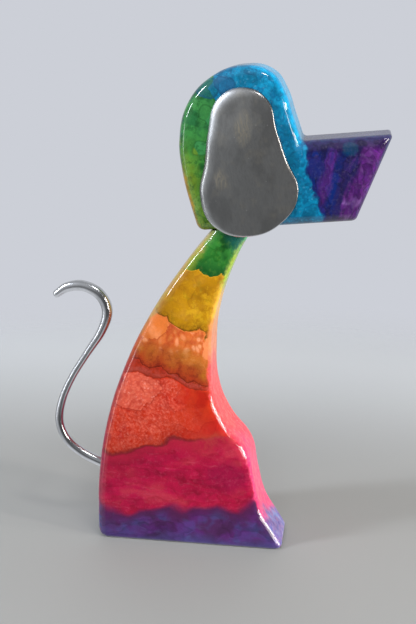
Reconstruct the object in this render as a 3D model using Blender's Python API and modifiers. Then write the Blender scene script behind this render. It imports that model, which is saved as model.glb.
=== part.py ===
"""Wooden dog figurine with cast aluminium ears and tail.

The body and the head are cut from one thickness of board, with a wide
rounding along both faces. The head rests on the neck along its slanted
underside, an aluminium ear lies flat on each of its cheeks, and an aluminium
tail stands in a blind hole in the dog's back.

Units are metres, +Z is up, the dog looks along +X and its right side is -Y.
The origin is the middle of the underside. The outlines below are in
millimetres: each knot is (x, z, corner), where corner is SMOOTH on a curved
stretch, or how far a sharp corner is cut back along its sides to round it.
"""

import bpy
import bmesh
from math import cos, pi, radians, sin, tan
from mathutils import Vector

MM = 0.001
SMOOTH = None
SHARP = 0.0

# Boards
BOARD = 38.0            # thickness of the body and the head
FACE_EDGE = 6.0         # rounding along both faces of a board
BASE_EDGE = 2.0         # finer rounding round the underside
GAP = 0.3               # clearance between two pieces that touch

# Head, which leans back on the neck
CHIN_X = 3.0            # lower back corner of the head
CHIN_Z = 201.7
CHIN_TILT = radians(5.8)

# Ears
EAR_THICK = 5.0
EAR_EDGE = 3.5          # rounding of an ear's outer rim

# Tail
TAIL_HOLE_DEPTH = 15.0
TAIL_BURIED = 14.4           # length of the rod inside the hole
TAIL_TILT = radians(-23.0)   # the rod slopes down into the back
TAIL_ROOT = (-59.1, 43.3)    # where its axis meets the back
TAIL_ROOT_RADIUS = 3.3
TAIL_TIP_RADIUS = 2.1
TAIL_SIDES = 12
TAIL_STEPS = 5               # points between two knots of the route
TAIL_NOSE = (radians(80), radians(60), radians(35))   # facets of its round tip

# Fineness
OUTLINE_STEPS = 6       # straight pieces between two knots of an outline
EDGE_STEPS = 4          # facets across a rounded edge
NEAR = 0.1              # points this close are taken for the same
WELD = 1e-6             # metres, over which the vertices of a cap are merged
STRAIGHT = radians(0.05)     # faces that turn less than this become one
CREASE = radians(35)         # sharper edges are shaded sharp


def chin_height(x):
    """Height of the head's underside at x."""
    return CHIN_Z + tan(CHIN_TILT) * (x - CHIN_X)


def neck_knot(x):
    """Corner of the neck's slanted top, just under the head."""
    return (x, chin_height(x) - GAP, SHARP)


BODY_OUTLINE = (
    (-59.8, 0.0, 7.0),
    (-60.0, 15.5, SMOOTH),
    (-59.0, 43.5, SMOOTH),
    (-53.0, 80.5, SMOOTH),
    (-42.0, 115.0, SMOOTH),
    (-26.5, 148.0, SMOOTH),
    (-8.2, 177.0, SMOOTH),
    neck_knot(10.8),
    neck_knot(35.5),
    (24.5, 183.0, SMOOTH),
    (13.7, 149.5, SMOOTH),
    (11.7, 126.0, SMOOTH),
    (14.0, 99.0, SMOOTH),
    (22.0, 81.0, SMOOTH),
    (35.5, 63.5, SMOOTH),
    (40.2, 43.5, SMOOTH),
    (45.5, 25.0, SMOOTH),
    (53.2, 12.5, SMOOTH),
    (61.2, 0.0, 6.2),
)

HEAD_OUTLINE = (
    (CHIN_X, CHIN_Z, 3.5),
    (-2.0, 217.0, SMOOTH),
    (-7.2, 237.0, SMOOTH),
    (-9.0, 255.5, SMOOTH),
    (-4.5, 275.5, SMOOTH),
    (8.5, 290.7, SMOOTH),
    (27.5, 298.0, SMOOTH),
    (43.5, 294.7, SMOOTH),
    (52.0, 283.5, SMOOTH),
    (56.2, 272.0, SMOOTH),
    (62.0, 256.3, 2.0),
    (114.0, 261.5, 3.0),
    (95.0, chin_height(95.0), 2.0),
)

EAR_OUTLINE = (
    (29.0, 284.7, SMOOTH),
    (14.8, 278.3, SMOOTH),
    (9.2, 260.5, SMOOTH),
    (7.8, 242.5, SMOOTH),
    (5.6, 223.5, SMOOTH),
    (14.0, 207.0, SMOOTH),
    (34.5, 201.5, SMOOTH),
    (54.5, 210.5, SMOOTH),
    (61.6, 227.5, SMOOTH),
    (54.2, 247.5, SMOOTH),
    (47.8, 263.5, SMOOTH),
    (42.4, 278.8, SMOOTH),
)

# Route of the tail from its tip to the bow above its root: x, z, radius
TAIL_ROUTE = (
    (-88.6, 154.7, TAIL_TIP_RADIUS),
    (-81.2, 159.4, 2.8),
    (-71.0, 160.4, 3.1),
    (-60.8, 155.7, 3.1),
    (-56.1, 145.4, 3.0),
    (-59.9, 132.2, 2.6),
    (-69.5, 117.0, 2.4),
    (-79.4, 100.8, 2.4),
    (-86.2, 85.0, 2.6),
    (-88.3, 70.3, 2.8),
    (-83.4, 58.2, 3.0),
    (-73.0, 49.5, 3.1),
)

WOOD_COLOUR = (0.52, 0.06, 0.10)
HEAD_COLOUR = (0.02, 0.25, 0.30)
METAL_COLOUR = (0.62, 0.62, 0.63)


def clear_scene():
    for item in list(bpy.data.objects):
        bpy.data.objects.remove(item)


def new_collection(name):
    collection = bpy.data.collections.new(name)
    bpy.context.scene.collection.children.link(collection)
    return collection


def new_material(name, colour, roughness, metallic):
    material = bpy.data.materials.new(name)
    material.use_nodes = True
    shader = material.node_tree.nodes["Principled BSDF"]
    shader.inputs["Base Color"].default_value = (*colour, 1.0)
    shader.inputs["Roughness"].default_value = roughness
    shader.inputs["Metallic"].default_value = metallic
    return material


def mesh_from_curve(curve_object, collection):
    """Turn a curve object into a mesh object with its caps welded on."""
    depsgraph = bpy.context.evaluated_depsgraph_get()
    mesh = bpy.data.meshes.new_from_object(curve_object.evaluated_get(depsgraph))
    bm = bmesh.new()
    bm.from_mesh(mesh)
    bmesh.ops.remove_doubles(bm, verts=bm.verts, dist=WELD)
    bmesh.ops.recalc_face_normals(bm, faces=bm.faces)
    bm.to_mesh(mesh)
    bm.free()
    name = curve_object.name
    curve_object.name = name + "_curve"
    piece = bpy.data.objects.new(name, mesh)
    collection.objects.link(piece)
    piece.matrix_world = curve_object.matrix_world
    bpy.data.objects.remove(curve_object)
    return piece


def handle_type(corner, neighbour):
    """An outline runs straight into a corner, and is smooth elsewhere."""
    return "AUTO" if corner is SMOOTH and not neighbour else "VECTOR"


def slab(name, knots, thickness, middle_y, collection):
    """A board cut to an outline, standing on edge along X."""
    curve = bpy.data.curves.new(name, "CURVE")
    curve.dimensions = "2D"
    curve.fill_mode = "BOTH"
    curve.extrude = thickness * MM / 2
    curve.resolution_u = OUTLINE_STEPS
    spline = curve.splines.new("BEZIER")
    spline.bezier_points.add(len(knots) - 1)
    spline.use_cyclic_u = True
    for index, point in enumerate(spline.bezier_points):
        x, z, corner = knots[index]
        point.co = (x * MM, z * MM, 0)
        point.handle_left_type = handle_type(corner, knots[index - 1][2])
        point.handle_right_type = handle_type(corner, knots[(index + 1) % len(knots)][2])
    board = bpy.data.objects.new(name, curve)
    board.rotation_euler.x = pi / 2
    board.location.y = middle_y * MM
    collection.objects.link(board)
    bpy.context.view_layer.update()
    return mesh_from_curve(board, collection)


def merge_caps(bm):
    """Make one face of each flat cap, and of the side along a straight stretch."""
    bmesh.ops.dissolve_limit(bm, angle_limit=STRAIGHT, verts=bm.verts, edges=bm.edges)


def round_edges(board, knots, weight_of_edge, widest):
    """Bevel a slab: weight_of_edge gives the width along its two faces."""
    mesh = board.data
    bm = bmesh.new()
    bm.from_mesh(mesh)
    merge_caps(bm)
    weight = bm.edges.layers.float.new("bevel_weight_edge")
    corners = [(Vector((x * MM, z * MM)), cut) for x, z, cut in knots if cut]
    for edge in bm.edges:
        low, high = (vert.co for vert in edge.verts)
        if abs(low.z - high.z) < NEAR * MM:
            edge[weight] = weight_of_edge(low, high) / widest
            continue
        for place, cut in corners:
            if (low.xy - place).length < NEAR * MM:
                edge[weight] = cut / widest
    bm.to_mesh(mesh)
    bm.free()
    bevel = board.modifiers.new("rounded edges", "BEVEL")
    bevel.limit_method = "WEIGHT"
    bevel.width = widest * MM
    bevel.segments = EDGE_STEPS
    bevel.use_clamp_overlap = False


def finish(piece, material):
    piece.data.materials.clear()
    piece.data.materials.append(material)
    piece.data.shade_smooth()
    piece.data.set_sharp_from_angle(angle=CREASE)


def under_chin(place):
    """Whether a point of an outline lies on the neck's slanted top."""
    return abs(place.y / MM - chin_height(place.x / MM) + GAP) < NEAR


def body_edge(low, high):
    """Rounding of a face edge of the body, none along the neck's top."""
    if max(low.y, high.y) < NEAR * MM:
        return BASE_EDGE
    return SHARP if under_chin(low) and under_chin(high) else FACE_EDGE


def make_body(collection, cutters, material):
    body = slab("body", BODY_OUTLINE, BOARD, 0.0, collection)
    widest = max(cut or SHARP for x, z, cut in BODY_OUTLINE)
    round_edges(body, BODY_OUTLINE, body_edge, widest)
    finish(body, material)
    drill = body.modifiers.new("tail hole", "BOOLEAN")
    drill.operation = "DIFFERENCE"
    drill.solver = "EXACT"
    drill.object = make_tail_drill(cutters)
    return body


def make_head(collection, material):
    head = slab("head", HEAD_OUTLINE, BOARD, 0.0, collection)
    round_edges(head, HEAD_OUTLINE, lambda low, high: FACE_EDGE, FACE_EDGE)
    finish(head, material)
    return head


def make_ear(name, side, collection, material):
    """An ear's plate on one cheek, its outer rim rounded: side is -1 or 1."""
    middle = side * (BOARD / 2 + GAP + EAR_THICK / 2)
    ear = slab(name, EAR_OUTLINE, EAR_THICK, middle, collection)

    def outer_rim(low, high):
        return EAR_EDGE if low.z * side < 0 else SHARP

    round_edges(ear, EAR_OUTLINE, outer_rim, EAR_EDGE)
    finish(ear, material)
    return ear


def tail_direction():
    """Direction of the rod's straight end, into the body."""
    return Vector((cos(TAIL_TILT), 0.0, sin(TAIL_TILT)))


def make_tail_drill(cutters):
    """A cylinder that cuts the blind hole for the tail's end."""
    bpy.ops.mesh.primitive_cylinder_add(
        vertices=TAIL_SIDES,
        radius=(TAIL_ROOT_RADIUS + GAP) * MM,
        depth=2 * TAIL_HOLE_DEPTH * MM,
    )
    drill = bpy.context.object
    drill.name = "tail_drill"
    root = Vector((TAIL_ROOT[0], 0.0, TAIL_ROOT[1]))
    drill.location = root * MM
    drill.rotation_euler = tail_direction().to_track_quat("Z", "Y").to_euler()
    drill.hide_render = True
    drill.display_type = "WIRE"
    for holder in list(drill.users_collection):
        holder.objects.unlink(drill)
    cutters.objects.link(drill)
    return drill


def tail_knots():
    """The route from tip to buried end, as vectors of x, z and radius."""
    root = Vector((*TAIL_ROOT, TAIL_ROOT_RADIUS))
    into = Vector((tail_direction().x, tail_direction().z, 0.0))
    return [Vector(knot) for knot in TAIL_ROUTE] + [root, root + into * TAIL_BURIED]


def smooth_route(knots, steps):
    """Points on a smooth curve through the knots, by Catmull-Rom."""
    points = []
    padded = [knots[0] * 2 - knots[1]] + knots + [knots[-1] * 2 - knots[-2]]
    for a, b, c, d in zip(padded, padded[1:], padded[2:], padded[3:]):
        for step in range(steps):
            t = step / steps
            points.append(
                0.5 * (2 * b + (c - a) * t
                       + (2 * a - 5 * b + 4 * c - d) * t ** 2
                       + (3 * b - a - 3 * c + d) * t ** 3)
            )
    return points + [knots[-1]]


def rounded_tip(knots):
    """Points before the first knot that close the rod with a round nose."""
    out = (knots[0] - knots[1]).xy.normalized()
    radius = knots[0].z
    tip = []
    for angle in TAIL_NOSE:
        centre = knots[0].xy + out * radius * sin(angle)
        tip.append(Vector((*centre, radius * cos(angle))))
    return tip


def make_tail(collection, material):
    knots = tail_knots()
    points = rounded_tip(knots) + smooth_route(knots, TAIL_STEPS)
    curve = bpy.data.curves.new("tail", "CURVE")
    curve.dimensions = "3D"
    curve.bevel_depth = MM
    curve.bevel_resolution = TAIL_SIDES // 4
    curve.use_fill_caps = True
    spline = curve.splines.new("POLY")
    spline.points.add(len(points) - 1)
    for place, (x, z, radius) in zip(spline.points, points):
        place.co = (x * MM, 0.0, z * MM, 1.0)
        place.radius = radius
    tail = bpy.data.objects.new("tail", curve)
    collection.objects.link(tail)
    bpy.context.view_layer.update()
    tail = mesh_from_curve(tail, collection)
    finish(tail, material)
    return tail


def main():
    clear_scene()
    figurine = new_collection("wooden_dog_figurine")
    cutters = new_collection("cutters")
    body_wood = new_material("painted_body", WOOD_COLOUR, 0.12, 0.0)
    head_wood = new_material("painted_head", HEAD_COLOUR, 0.12, 0.0)
    aluminium = new_material("polished_aluminium", METAL_COLOUR, 0.25, 1.0)
    make_body(figurine, cutters, body_wood)
    make_head(figurine, head_wood)
    make_ear("ear_right", -1, figurine, aluminium)
    make_ear("ear_left", 1, figurine, aluminium)
    make_tail(figurine, aluminium)


main()
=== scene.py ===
"""Finishes for the wooden dog figurine: inks under resin, and cast aluminium.

Each operator makes one piece, or one pair of like pieces, in the place of its
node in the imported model. The outlines, the tail's route and the recipes of the
materials are in millimetres. The stage, and everything that is made, is in
metres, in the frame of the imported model: +Z is up, the dog looks along +X and
its right side is -Y.
"""

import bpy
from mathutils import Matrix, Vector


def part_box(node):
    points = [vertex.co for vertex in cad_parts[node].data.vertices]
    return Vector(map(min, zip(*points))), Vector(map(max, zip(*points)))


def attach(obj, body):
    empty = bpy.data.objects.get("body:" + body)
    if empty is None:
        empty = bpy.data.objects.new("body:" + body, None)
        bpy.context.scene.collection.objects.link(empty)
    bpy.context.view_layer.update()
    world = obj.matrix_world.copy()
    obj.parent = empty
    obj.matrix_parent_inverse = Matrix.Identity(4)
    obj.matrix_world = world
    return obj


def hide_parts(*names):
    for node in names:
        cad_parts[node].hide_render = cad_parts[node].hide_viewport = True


bl_info = {
    "name": "Wooden dog figurine",
    "version": (1, 0, 0),
    "blender": (4, 5, 0),
    "location": "3D View > Sidebar > Figurine",
    "description": "Makes the figurine's painted boards, aluminium ears and tail",
    "category": "Object",
}

from math import cos, pi, radians, sin, tan

import bmesh
import bpy
from bpy.props import (
    FloatProperty,
    FloatVectorProperty,
    IntProperty,
    PointerProperty,
)
from mathutils import Matrix, Vector, noise

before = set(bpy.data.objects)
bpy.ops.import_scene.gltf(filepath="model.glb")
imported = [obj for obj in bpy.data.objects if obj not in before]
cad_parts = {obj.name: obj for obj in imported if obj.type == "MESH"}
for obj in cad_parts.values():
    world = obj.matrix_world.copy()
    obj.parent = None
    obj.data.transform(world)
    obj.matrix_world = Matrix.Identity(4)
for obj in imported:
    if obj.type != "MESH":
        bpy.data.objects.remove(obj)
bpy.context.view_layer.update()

MM = 0.001
BODY = "root"
BOARD = 38      # thickness of a board
MERGE = 1e-6    # points nearer than this are one
NEAR = MM / 10  # points nearer than this are at one place of an outline
CREASE = radians(40)        # faces that meet at a greater angle keep a sharp edge
TAIL_CREASE = radians(50)
SMOOTH = None
SHARP = 0

# Outlines
# Each knot is (x, z, corner): corner is SMOOTH on a curved stretch, or how far
# a sharp corner is cut back along its sides to round it.
CHIN_X = 3.0            # the head's underside runs through this place, at this tilt
CHIN_Z = 201.7
CHIN_TILT = radians(5.8)
GAP = 0.3               # glue line under the head, and play round the tail
NECK_SPARE = 9.0        # the neck is made too long, then cut along the chin


def chin_height(x):
    """Height of the head's underside at x."""
    return CHIN_Z + tan(CHIN_TILT) * (x - CHIN_X)


def neck_knot(x, start=None):
    """Corner of the neck's slanted top, or a point beyond it, away from a start."""
    place = Vector((x, chin_height(x) - GAP))
    if start:
        place += (place - Vector(start)).normalized() * NECK_SPARE
    return (*place, SHARP)


BODY_OUTLINE = (
    (-59.8, 0, 7),
    (-60, 15.5, SMOOTH),
    (-59, 43.5, SMOOTH),
    (-53, 80.5, SMOOTH),
    (-42, 115, SMOOTH),
    (-26.5, 148, SMOOTH),
    (-8.2, 177, SMOOTH),
    neck_knot(10.8),
    neck_knot(10.8, (-8.2, 177)),
    neck_knot(35.5, (24.5, 183)),
    neck_knot(35.5),
    (24.5, 183, SMOOTH),
    (13.7, 149.5, SMOOTH),
    (11.7, 126, SMOOTH),
    (14, 99, SMOOTH),
    (22, 81, SMOOTH),
    (35.5, 63.5, SMOOTH),
    (40.2, 43.5, SMOOTH),
    (45.5, 25, SMOOTH),
    (53.2, 12.5, SMOOTH),
    (61.2, 0, 6.2),
)

HEAD_OUTLINE = (
    (CHIN_X, CHIN_Z, 3.5),
    (-2, 217, SMOOTH),
    (-7.2, 237, SMOOTH),
    (-9, 255.5, SMOOTH),
    (-4.5, 275.5, SMOOTH),
    (8.5, 290.7, SMOOTH),
    (27.5, 298, SMOOTH),
    (43.5, 294.7, SMOOTH),
    (52, 283.5, SMOOTH),
    (56.2, 272, SMOOTH),
    (62, 256.3, 2),
    (114, 261.5, 3),
    (95, chin_height(95), 2),
)

EAR_OUTLINE = (
    (29, 285.9, SMOOTH),
    (14, 279.3, SMOOTH),
    (8.6, 260.5, SMOOTH),
    (6.8, 242.5, SMOOTH),
    (4.4, 223.5, SMOOTH),
    (12.8, 205.9, SMOOTH),
    (33, 200.7, SMOOTH),
    (54, 211, SMOOTH),
    (61.6, 227.5, SMOOTH),
    (53.6, 247.5, SMOOTH),
    (47.8, 263.5, SMOOTH),
    (42.7, 279.2, SMOOTH),
)

# Route of the tail from its tip to the bow above its root: x, z, radius
TAIL_ROUTE = (
    (-88.3, 155.3, 2.5),
    (-81.2, 159.9, 3.1),
    (-71, 161.1, 3.4),
    (-60.6, 156, 3.5),
    (-56, 145.4, 3.4),
    (-59.9, 132.2, 2.9),
    (-69.5, 117, 2.4),
    (-79.4, 100.8, 2.4),
    (-86.2, 85, 2.6),
    (-88.3, 70.3, 2.8),
    (-83.4, 58.2, 3),
    (-73, 49.5, 3.1),
)
TAIL_ROOT = (-59.1, 43.3)   # where the rod's axis meets the body's back
TAIL_ROOT_RADIUS = 3.3
TAIL_TILT = radians(-23)
TAIL_HOLE_DEPTH = 15
TAIL_HOLE_SIDES = 48
TAIL_STEPS = 8      # points from one knot of the route to the next


def hexed(code):
    """A colour from its six hexadecimal digits, made linear."""
    parts = [int(code[i:i + 2], 16) / 255 for i in (0, 2, 4)]
    return tuple(
        c / 12.92 if c <= 0.04045 else ((c + 0.055) / 1.055) ** 2.4 for c in parts
    )


# User settings
def colour(name, code, text):
    """A colour property whose default is given by its hexadecimal digits."""
    return FloatVectorProperty(
        name=name, description=text, subtype="COLOR", size=3,
        min=0.0, max=1.0, default=hexed(code),
    )


def length(name, size, text, least=0.0):
    """A length property whose default is given in millimetres."""
    return FloatProperty(
        name=name, description=text, unit="LENGTH", default=size * MM, min=least * MM
    )


class BoardSettings(bpy.types.PropertyGroup):
    """Sizes of the painted wooden boards."""

    face_edge: length("Face rounding", 6.0, "Rounding along both faces of a board")
    base_edge: length("Base rounding", 2.0, "Finer rounding round the underside")
    outline_steps: IntProperty(
        name="Outline steps", default=14, min=4, max=48,
        description="Straight pieces between two knots of an outline",
    )
    edge_steps: IntProperty(
        name="Edge steps", default=10, min=2, max=24,
        description="Facets across a rounded edge",
    )
    ripple: length(
        "Resin ripple", 0.05, "Height of the waves that the poured resin leaves on an edge"
    )


class EarSettings(bpy.types.PropertyGroup):
    """Sizes of the cast ears."""

    rim: length("Rim width", 5.5, "Width over which the face falls away to the outline")
    fall: length("Rim fall", 3.0, "How far the face falls over the rim")
    dome: length("Dome", 0.5, "Rise of the middle of the face above its rim")


class TailSettings(bpy.types.PropertyGroup):
    """Sizes of the tail's rod."""

    gauge: FloatProperty(
        name="Gauge", default=1.0, min=0.2, max=1.2, subtype="FACTOR",
        description="Thickness of the rod, as a share of its full thickness",
    )
    sides: IntProperty(
        name="Sides", default=32, min=8, max=64,
        description="Facets round the rod",
    )
    step: length("Step", 1.0, "Length of one facet along the rod", 0.2)


class InkColours(bpy.types.PropertyGroup):
    """Inks of the body and the head, from the top of the rainbow down."""

    leaf: colour("Leaf green", "3f8f3a", "Light green of the neck and the nape")
    moss: colour("Moss", "0f4a1c", "Dark green pools")
    lime: colour("Lime", "8f9c12", "Yellow green where green meets yellow")
    yellow: colour("Yellow", "bb870c", "Yellow of the throat")
    amber: colour("Amber", "7d4c0a", "Brown that settles in the yellow")
    orange: colour("Orange", "d47131", "Orange below the yellow")
    peach: colour("Peach", "f2a070", "Pale cells in the orange")
    olive: colour("Olive gold", "a8681c", "Brownish gold under the orange")
    brick: colour("Brick", "8c2a18", "Dark red line under the gold")
    coral: colour("Coral", "e87a64", "Pale grains in the red")
    red: colour("Red", "bd2614", "Red of the chest")
    crimson: colour("Crimson", "a80e3b", "Crimson of the lap")
    wine: colour("Wine", "680a3a", "Dark pools in the crimson")
    violet: colour("Violet", "482250", "Violet of the feet")
    slate: colour("Slate blue", "3c4a84", "Blue clouds in the violet")
    teal: colour("Teal", "005f80", "Dark teal of the head")
    turquoise: colour("Turquoise", "0078a0", "Turquoise of the dome")
    cyan: colour("Cyan", "20a0cc", "Thin ink along the forehead")
    blue: colour("Blue", "05236a", "Blue of the snout")
    navy: colour("Navy", "0a1444", "Darkest pools of the snout")
    magenta: colour("Magenta", "6a2288", "Purple of the snout's end")


class MetalColours(bpy.types.PropertyGroup):
    """Tones of the two aluminium finishes."""

    satin: colour("Satin", "a2a3a3", "Brushed face of an ear")
    smudge: colour("Smudge", "c8c0ae", "Warm bloom on an ear")
    # Bright is also the colour of the painted highlights on the ears' rims
    bright: colour("Bright", "d2d4d8", "Polished rod of the tail")


class StageSettings(bpy.types.PropertyGroup):
    """The floor, the backdrop and the lights."""

    floor_near: colour("Floor", "8c8c8a", "Pale floor round the figurine")
    floor_far: colour("Far floor", "b0b2b4", "Paler floor further away")
    backdrop: colour("Backdrop", "cccfd7", "What shows behind the floor")
    strength: FloatProperty(
        name="Light", default=1.0, min=0.0, max=4.0, subtype="FACTOR",
        description="Strength of all the lights together",
    )


# Shader building
def maths(operation, turned=False):
    """A method that adds a Math node, its operands in turned order if asked."""
    def method(value, *others):
        operands = (*others, value) if turned else (value, *others)
        settings = {"operation": operation}
        return value.nodes.add("ShaderNodeMath", settings, dict(enumerate(operands)))
    return method


class Value:
    """A node's output, whose arithmetic adds Math nodes."""

    def __init__(self, nodes, socket):
        self.nodes = nodes
        self.socket = socket

    __add__ = __radd__ = maths("ADD")
    __sub__ = maths("SUBTRACT")
    __rsub__ = maths("SUBTRACT", turned=True)
    __mul__ = __rmul__ = maths("MULTIPLY")
    __truediv__ = maths("DIVIDE")
    __pow__ = maths("POWER")
    size = maths("ABSOLUTE")
    most = maths("MAXIMUM")

    def __neg__(self):
        return self * -1


class Nodes:
    """The nodes of one tree, added one by one."""

    def __init__(self, tree):
        self.tree = tree
        tree.nodes.clear()

    def add(self, kind, settings=None, sockets=None, output=0):
        """Add a node, set it up, fill or link its sockets, and give an output."""
        made = self.tree.nodes.new(kind)
        for name, value in (settings or {}).items():
            setattr(made, name, value)
        for name, value in (sockets or {}).items():
            if isinstance(value, Value):
                self.tree.links.new(value.socket, made.inputs[name])
            else:
                made.inputs[name].default_value = value
        return Value(self, made.outputs[output]) if len(made.outputs) else None


class Finish(Nodes):
    """A material's nodes. Places and sizes in it are in millimetres."""

    def vector(self, operation, *operands, **sockets):
        """A vector worked out from others."""
        sockets = {**dict(enumerate(operands)), **sockets}
        return self.add("ShaderNodeVectorMath", {"operation": operation}, sockets)

    def place(self):
        """Object coordinates in millimetres."""
        metres = self.add("ShaderNodeTexCoord", output="Object")
        return self.vector("SCALE", metres, Scale=1 / MM)

    def axes(self, place):
        """The x, y and z of a place."""
        return [self.add("ShaderNodeSeparateXYZ", None, {0: place}, i) for i in range(3)]

    def point(self, x, y, z):
        """A place from its x, y and z."""
        return self.add("ShaderNodeCombineXYZ", None, {0: x, 1: y, 2: z})

    def lumps(self, place, size, seed, stretch=(1, 1, 1)):
        """A place counted in lumps of a size, each seed somewhere else."""
        scale = tuple(1 / (size * s) for s in stretch)
        start = (seed * 13.7 % 50, seed * 7.3 % 50, seed * 29.1 % 50)
        sockets = {"Vector": place, "Location": start, "Scale": scale}
        return self.add("ShaderNodeMapping", None, sockets)

    def cloud(self, place, size, seed, detail=2, rough=0.5, stretch=(1, 1, 1), output="Fac"):
        """Cloudy values round a half, in lumps of a size."""
        sockets = {
            "Vector": self.lumps(place, size, seed, stretch),
            "Scale": 1,
            "Detail": detail,
            "Roughness": rough,
        }
        return self.add("ShaderNodeTexNoise", None, sockets, output)

    def stir(self, place, size, seed, reach):
        """A place carried about by up to about a reach, as ink by a current."""
        swirl = self.cloud(place, size, seed, output="Color")
        swirl = self.vector("SUBTRACT", swirl, (0.5, 0.5, 0.5))
        return self.vector("ADD", place, self.vector("SCALE", swirl, Scale=2 * reach))

    def cells(self, place, size, seed, output="Distance", stretch=(1, 1, 1)):
        """Distance inside cells of a size, in cells, or their colours."""
        sockets = {"Vector": self.lumps(place, size, seed, stretch), "Scale": 1}
        return self.add("ShaderNodeTexVoronoi", None, sockets, output)

    def grade(self, value, start, end):
        """0 at the start of a range of values and 1 at its end, smoothly."""
        settings = {"interpolation_type": "SMOOTHSTEP"}
        sockets = {"Value": value, "From Min": start, "From Max": end}
        return self.add("ShaderNodeMapRange", settings, sockets)

    def mix(self, share, first, second, blend="MIX"):
        """One colour laid over another by a share."""
        first, second = (c if isinstance(c, Value) else (*c, 1) for c in (first, second))
        settings = {"data_type": "RGBA", "blend_type": blend}
        return self.add("ShaderNodeMix", settings, {0: share, 6: first, 7: second}, 2)

    def shade(self, sockets, relief=None, strength=0, height=0):
        """The material's one shader with its relief, joined to its output."""
        if relief:
            bump = {"Strength": strength, "Distance": height, "Height": relief}
            sockets = {**sockets, "Normal": self.add("ShaderNodeBump", None, bump)}
        shader = self.add("ShaderNodeBsdfPrincipled", None, sockets)
        self.add("ShaderNodeOutputMaterial", None, {"Surface": shader})


def new_finish(name, kind=Finish):
    """A new material and its nodes."""
    material = bpy.data.materials.new(name)
    material.use_nodes = True
    return material, kind(material.node_tree)


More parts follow.
